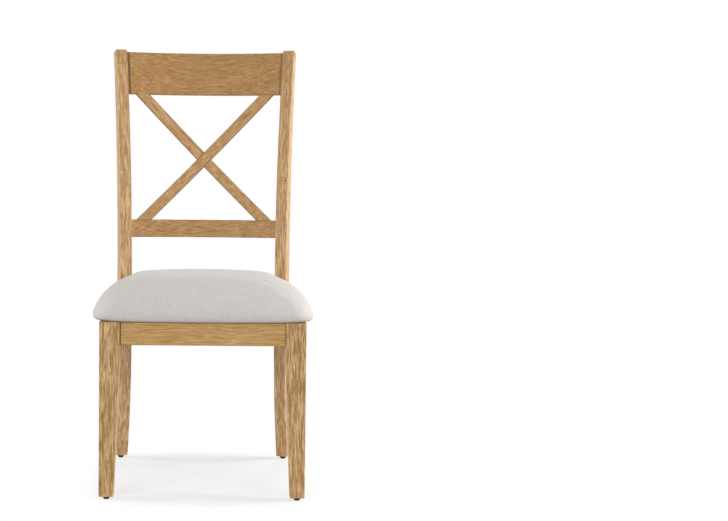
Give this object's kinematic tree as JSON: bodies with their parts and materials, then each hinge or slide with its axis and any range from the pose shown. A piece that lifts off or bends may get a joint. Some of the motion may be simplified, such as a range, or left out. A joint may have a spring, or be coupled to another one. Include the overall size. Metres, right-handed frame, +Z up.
{
  "type": "cross back dining chair",
  "caption": "Wooden dining chair with a padded fabric seat, tapered square front legs, swept back posts, a bowed crest rail and crossed braces in the open back.",
  "frame": {"origin": "on the floor under the middle of the chair's bounding box", "axes": "+Z up, -Y towards the front of the seat, +X to the right as seen from the front"},
  "size_m": [0.4696, 0.5581, 1.0008],
  "materials": {
    "oak": "pale honey oak under a thin satin lacquer",
    "block_wood": "planed softwood, unfinished",
    "dowel_wood": "fluted beech, unfinished",
    "plywood": "sanded plywood",
    "seat_fabric": "pale warm grey plain weave",
    "foam": "cream seat foam, matt",
    "dust_cloth": "black non-woven cloth, matt",
    "glide_plastic": "near black moulded plastic",
    "zinc_steel": "zinc plated"
  },
  "bodies": {
    "root": {"apron_dowels": "dowel_wood", "back_post_left": "oak", "back_post_right": "oak", "corner_block_front_left": "block_wood", "corner_block_front_right": "block_wood", "corner_block_rear_left": "block_wood", "corner_block_rear_right": "block_wood", "corner_block_screws": "zinc_steel", "crest_rail": "oak", "cross_brace_falling": "oak", "cross_brace_rising": "oak", "foot_glide_back_left": "glide_plastic", "foot_glide_back_right": "glide_plastic", "foot_glide_front_left": "glide_plastic", "foot_glide_front_right": "glide_plastic", "front_apron": "oak", "front_leg_left": "oak", "front_leg_right": "oak", "glide_nails": "zinc_steel", "lower_back_rail": "oak", "rear_rail_dowels": "dowel_wood", "rear_seat_rail": "oak", "seat_board": "plywood", "seat_cover": "seat_fabric", "seat_dust_cover": "dust_cloth", "seat_foam": "foam", "seat_screws": "zinc_steel", "side_rail_front_dowels": "dowel_wood", "side_rail_left": "oak", "side_rail_rear_dowels": "dowel_wood", "side_rail_right": "oak"}
  },
  "joints": []
}
